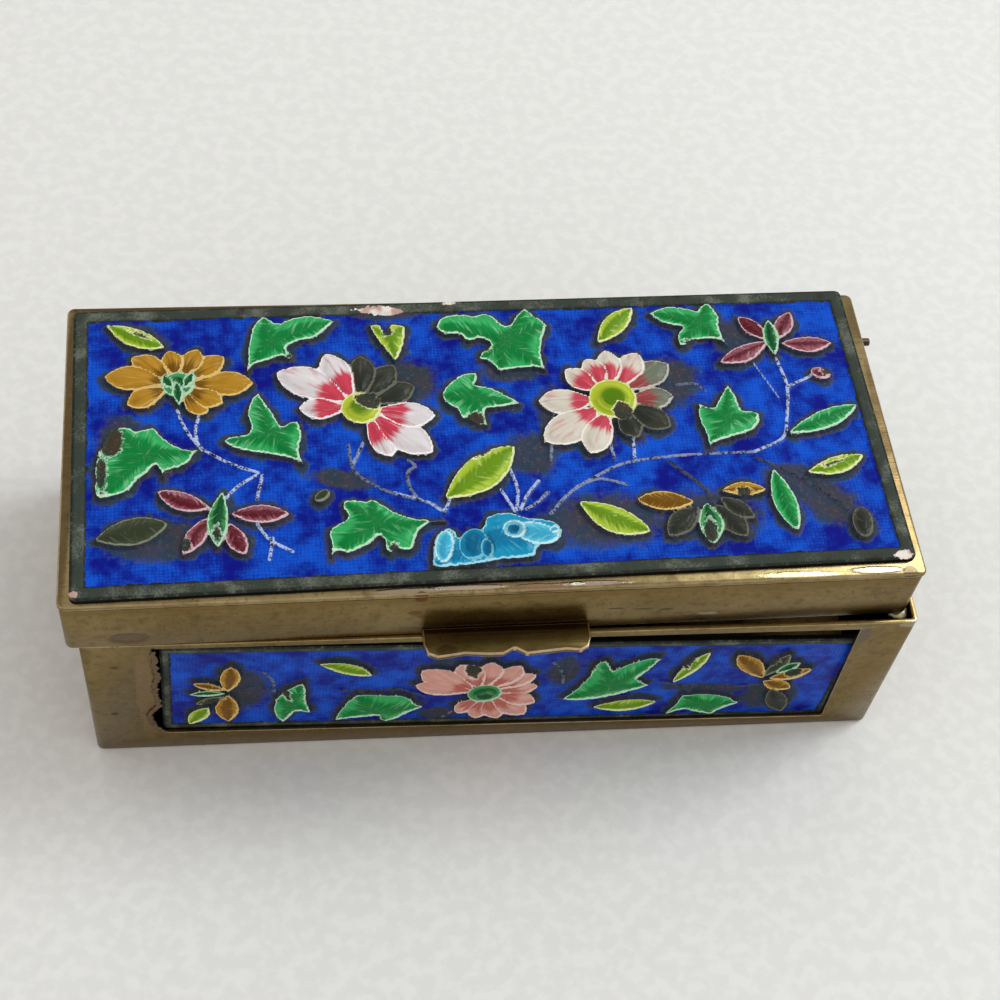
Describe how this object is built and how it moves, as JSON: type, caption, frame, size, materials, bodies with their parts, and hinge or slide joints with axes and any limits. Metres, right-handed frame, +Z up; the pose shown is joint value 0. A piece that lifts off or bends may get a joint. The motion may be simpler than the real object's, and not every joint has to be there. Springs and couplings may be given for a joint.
{
  "type": "enamelled hinged brass box",
  "caption": "Small oblong hinged brass box with raised floral enamel panels on its lid and front and a scalloped thumb tab.",
  "frame": {"origin": "centre of the underside of the lower box", "axes": "+X along the box's length, +Y from the front towards the hinge, +Z up"},
  "size_m": [0.1077, 0.0506, 0.037],
  "materials": {
    "brass": "satin, aged, with brown patina and small stains",
    "tab_brass": "satin, dark aged brass",
    "wire": "dull, tarnished brown",
    "enamel": "glossy translucent blue enamel with green, yellow, ochre, pink and maroon raised motifs, partly lost to dark copper"
  },
  "bodies": {
    "box": {"box_body": "brass", "front_plaque": "enamel", "hinge_leaf_body": "brass", "hinge_pin": "wire"},
    "lid": {"lid_walls": "brass", "lid_top_plate": "brass", "lid_plaque": "enamel", "thumb_tab": "tab_brass", "hinge_leaf_lid": "brass"}
  },
  "joints": [
    {"name": "lid_hinge", "type": "hinge", "parent": "box", "child": "lid", "pos_m": [0, 0.0239, 0.0248], "axis": [-1, 0, 0], "range_deg": [0, 105]}
  ]
}
